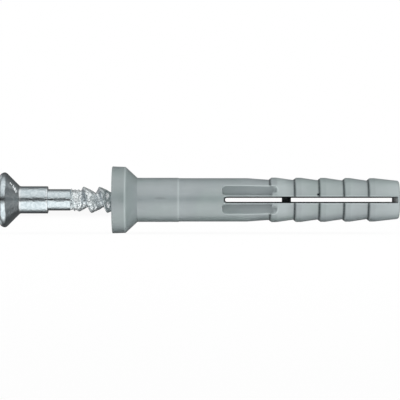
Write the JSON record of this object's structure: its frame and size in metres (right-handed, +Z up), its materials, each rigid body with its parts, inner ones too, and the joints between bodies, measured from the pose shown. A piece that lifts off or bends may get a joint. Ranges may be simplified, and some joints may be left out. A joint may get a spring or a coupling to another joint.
{
  "type": "hammer fixing plug",
  "caption": "Moulded wall plug with a conical collar, a slotted and ribbed expansion zone, and a steel nail screw standing part way in, ready to be hammered home.",
  "frame": {"origin": "on the plug's axis, in the plane where the cone of the collar meets the shank of the sleeve", "axes": "+X along the plug's axis towards the closed tip of the sleeve, -X towards the nail's head, +Z up with the slot of the sleeve opening towards -Y and +Y"},
  "size_m": [0.0558, 0.0094, 0.0094],
  "materials": {
    "grey_nylon": "satin, as moulded",
    "zinc_plated_steel": "bright zinc plating"
  },
  "bodies": {
    "root": {"expansion_sleeve": "grey_nylon", "nail_screw": "zinc_plated_steel"}
  },
  "joints": []
}
